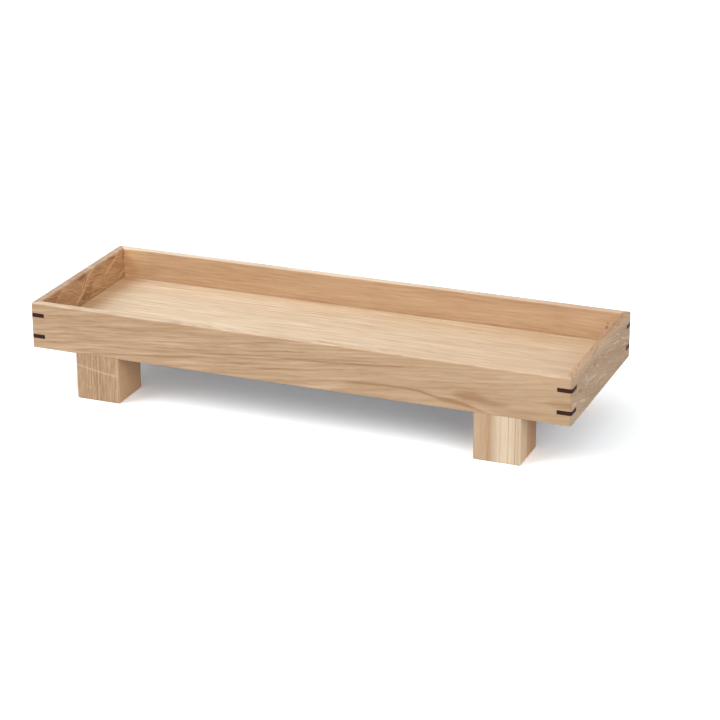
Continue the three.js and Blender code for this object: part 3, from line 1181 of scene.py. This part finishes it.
def make_world(stage):
    """Soft light from pale walls, which the camera and reflections see as plain white."""
    world = bpy.data.worlds.new("studio")
    world.use_nodes = True
    world.node_tree.nodes.clear()
    wire = Wire(world.node_tree)
    seen = wire.node("LightPath", output="Is Camera Ray")
    for ray in ("Is Glossy Ray", "Is Transmission Ray"):
        seen = wire.math("MAXIMUM", seen, wire.node("LightPath", output=ray))
    _, _, height = wire.node("TexCoord", output="Generated").parts()
    soft = wire.math("MAXIMUM", height, 0.0).over(stage.walls, stage.sky - stage.walls)
    strength = soft + seen * (1 - soft)
    light = wire.node("Background", inputs={"Color": (1, 1, 1, 1), "Strength": strength})
    wire.node("OutputWorld", inputs={"Surface": light})
    bpy.context.scene.world = world


def floor_material(stage):
    """A pale matt floor that the camera sees as white, and that is clear from below."""
    material, wire = new_material("pale floor")
    pale = wire.node("BsdfDiffuse", inputs={"Color": (*stage.floor, 1)})
    gain = [part * stage.floor_gain for part in COOL_WHITE]
    white = wire.node("BsdfDiffuse", inputs={"Color": (*gain, 1)})
    glow = wire.node("Emission", inputs={"Color": COOL_GLOW, "Strength": 1.0})
    seen_white = wire.node("MixShader", inputs={0: stage.floor_glow, 1: white, 2: glow})
    camera_ray = wire.node("LightPath", output="Is Camera Ray")
    surface = wire.node("MixShader", inputs={0: camera_ray, 1: pale, 2: seen_white})
    behind = wire.node("NewGeometry", output="Backfacing")
    touching = wire.math("LESS_THAN", wire.node("LightPath", output="Ray Length"), CLEAR_WITHIN)
    unseen = wire.math("MAXIMUM", behind, touching)
    clear = wire.node("BsdfTransparent")
    shown = wire.node("MixShader", inputs={0: unseen, 1: surface, 2: clear})
    wire.node("OutputMaterial", inputs={"Surface": shown})
    return material


def make_floor(stage):
    """The floor that the tray stands on and throws its shadow on."""
    plane = bmesh.new()
    bmesh.ops.create_grid(plane, x_segments=1, y_segments=1, size=stage.floor_size / 2)
    bmesh.ops.translate(plane, verts=plane.verts[:], vec=(0, 0, -FLOOR_GAP))
    floor = new_object("floor", plane)
    cover(floor, floor_material(stage))


def make_lamp(name, strength, place):
    """A broad soft lamp that stands so high and so far left of the front."""
    height, left = (math.radians(angle) for angle in place)
    data = bpy.data.lights.new(name, "SUN")
    data.energy = strength
    data.angle = LAMP_SIZE
    lamp = bpy.data.objects.new(name, data)
    flat = math.cos(height)
    towards = Vector((-math.sin(left) * flat, -math.cos(left) * flat, math.sin(height)))
    lamp.rotation_euler = towards.to_track_quat("Z", "Y").to_euler()
    lamp.location = towards
    bpy.context.scene.collection.objects.link(lamp)


def make_camera(stage):
    """The camera at the photograph's angle."""
    data = bpy.data.cameras.new("camera")
    data.lens = stage.lens
    data.sensor_width = SENSOR_WIDTH
    data.clip_start = NEAREST
    data.clip_end = FARTHEST
    camera = bpy.data.objects.new("camera", data)
    eye = Vector(stage.eye)
    camera.location = eye
    facing = (Vector(stage.target) - eye).to_track_quat("-Z", "Y")
    camera.rotation_euler = (facing @ Quaternion((0, 0, 1), stage.roll)).to_euler()
    bpy.context.scene.collection.objects.link(camera)
    bpy.context.scene.camera = camera


class TRAY_OT_stage(bpy.types.Operator):
    """Set up the camera, the pale floor and the soft studio light"""

    bl_idname = "tray.stage"
    bl_label = "Stage"

    def execute(self, context):
        stage = context.scene.tray_stage
        make_camera(stage)
        make_floor(stage)
        make_lamp("key_lamp", stage.key, KEY_PLACE)
        make_lamp("fill_lamp", stage.fill, FILL_PLACE)
        make_world(stage)
        context.scene.view_settings.view_transform = "Standard"
        return {"FINISHED"}


class TRAY_PT_panel(bpy.types.Panel):
    """Lists the tray's steps, sizes, colours and stage"""

    bl_idname = "TRAY_PT_panel"
    bl_label = "Footed oak tray"
    bl_space_type = "VIEW_3D"
    bl_region_type = "UI"
    bl_category = "Tray"

    def draw(self, context):
        layout = self.layout
        for operator in OPERATORS:
            layout.operator(operator.bl_idname)
        for group in (context.scene.tray_sizes, context.scene.tray_colours, context.scene.tray_stage):
            box = layout.box()
            for name in group.__annotations__:
                box.prop(group, name)


OPERATORS = (TRAY_OT_stage, TRAY_OT_rails, TRAY_OT_splines, TRAY_OT_board, TRAY_OT_legs)
GROUPS = {"tray_sizes": TraySizes, "tray_colours": TrayColours, "tray_stage": TrayStage}
CLASSES = (*GROUPS.values(), *OPERATORS, TRAY_PT_panel)


def register():
    """Adds the classes and hangs their properties on the scene."""
    for cls in CLASSES:
        bpy.utils.register_class(cls)
    for name, group in GROUPS.items():
        setattr(bpy.types.Scene, name, PointerProperty(type=group))


def unregister():
    """Takes the properties and the classes away again."""
    for name in GROUPS:
        delattr(bpy.types.Scene, name)
    for cls in reversed(CLASSES):
        bpy.utils.unregister_class(cls)


def main():
    """Builds the stage and the tray."""
    register()
    bpy.ops.tray.stage()
    bpy.ops.tray.rails()
    bpy.ops.tray.splines()
    bpy.ops.tray.board()
    bpy.ops.tray.legs()


if __name__ == "__main__":
    main()
